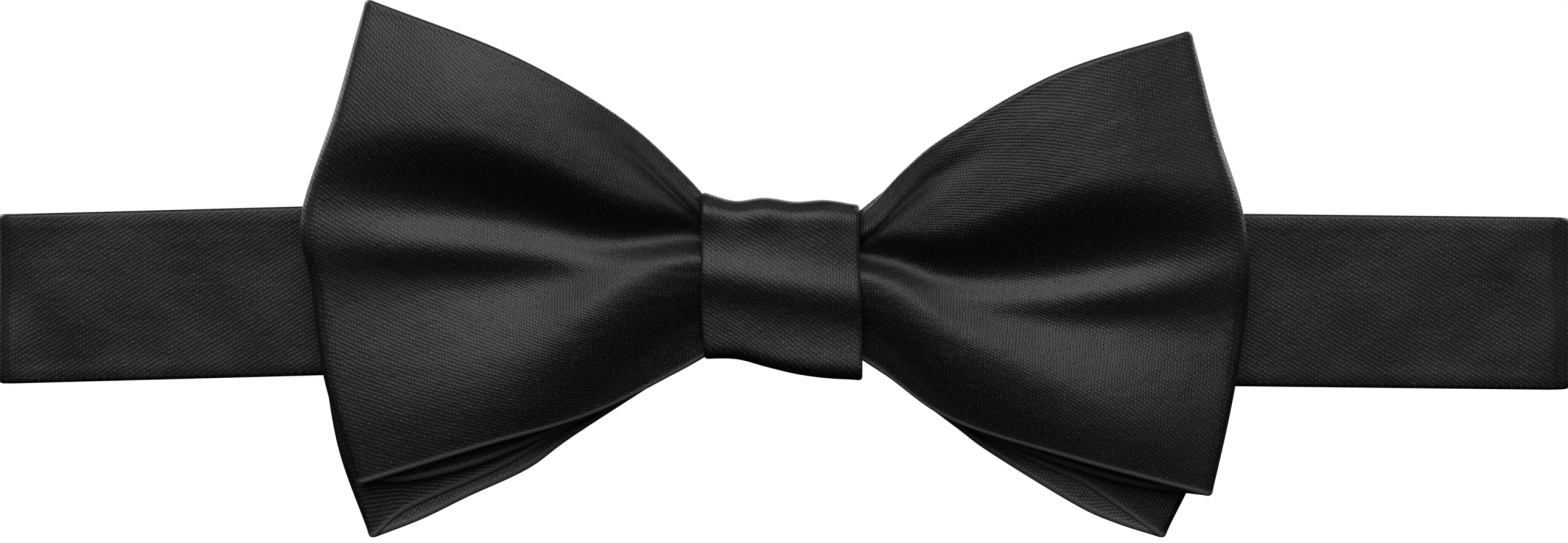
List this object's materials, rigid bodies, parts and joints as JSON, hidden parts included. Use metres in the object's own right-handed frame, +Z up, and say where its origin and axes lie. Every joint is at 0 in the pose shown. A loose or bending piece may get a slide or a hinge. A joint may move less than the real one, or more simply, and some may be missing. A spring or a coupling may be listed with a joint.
{
  "type": "bow tie",
  "caption": "Pre-tied satin bow tie: two flattened ribbon loops pleated through a knot, on a folded neckband with a sliding adjuster, hook and eye.",
  "frame": {"origin": "middle of the knot's back face, which sits on the shirt collar", "axes": "+Z up as worn, +Y towards the neck, +X to the wearer's left; the front of the bow faces -Y"},
  "size_m": [0.1994, 0.0298, 0.0686],
  "materials": {
    "satin": "black twill-backed satin with a soft sheen",
    "interlining": "matt grey canvas",
    "thread": "matt black sewing thread",
    "label": "blank woven taffeta label",
    "clasp": "black enamelled steel, semi-gloss"
  },
  "bodies": {
    "root": {"front_bow_satin": "satin", "front_bow_interlining": "interlining", "rear_bow_satin": "satin", "rear_bow_interlining": "interlining", "gather_thread": "thread", "knot_wrap": "satin", "knot_interlining": "interlining", "knot_stitches": "thread", "front_band_satin": "satin", "front_band_interlining": "interlining", "left_fold_satin": "satin", "left_fold_interlining": "interlining", "right_fold_satin": "satin", "right_fold_interlining": "interlining"},
    "left_end": {"left_band_satin": "satin", "left_band_interlining": "interlining", "eye_hem": "satin", "eye_hem_stitches": "thread", "care_label": "label", "care_label_stitches": "thread"},
    "eye": {"eye": "clasp"},
    "right_end": {"right_band_satin": "satin", "right_band_interlining": "interlining", "feed_band": "satin"},
    "adjuster": {"slider_frame": "clasp", "slider_bar": "clasp", "slider_hem": "satin", "slider_hem_stitches": "thread", "return_band": "satin"},
    "strap_turn": {"hook_turn": "satin"},
    "hook": {"hook": "clasp"}
  },
  "joints": [
    {"name": "left_end_swing", "type": "hinge", "parent": "root", "child": "left_end", "pos_m": [-0.0978, 0.0001, 0], "axis": [0, 0, 1], "range_deg": [0, 150], "deforming": ["left_fold_satin", "left_fold_interlining"]},
    {"name": "right_end_swing", "type": "hinge", "parent": "root", "child": "right_end", "pos_m": [0.0978, 0.0001, 0], "axis": [0, 0, -1], "range_deg": [0, 150], "deforming": ["right_fold_satin", "right_fold_interlining"]},
    {"name": "eye_pivot", "type": "hinge", "parent": "left_end", "child": "eye", "pos_m": [-0.00426, 0.01184, 0], "axis": [0, 0, 1], "range_deg": [-65, 65]},
    {"name": "adjuster_slide", "type": "slide", "parent": "right_end", "child": "adjuster", "axis": [0.9925, -0.1219, 0], "range_m": [0, 0.04], "deforming": ["feed_band", "return_band"]},
    {"name": "strap_feed", "type": "slide", "parent": "adjuster", "child": "strap_turn", "axis": [-0.9925, 0.1219, 0], "range_m": [0, 0.02]},
    {"name": "hook_pivot", "type": "hinge", "parent": "strap_turn", "child": "hook", "pos_m": [0.02232, 0.00901, 0], "axis": [0, 0, 1], "range_deg": [-60, 20]}
  ],
  "couplings": [
    {"joint": "strap_feed", "follows": "adjuster_slide", "ratio": 0.5}
  ]
}
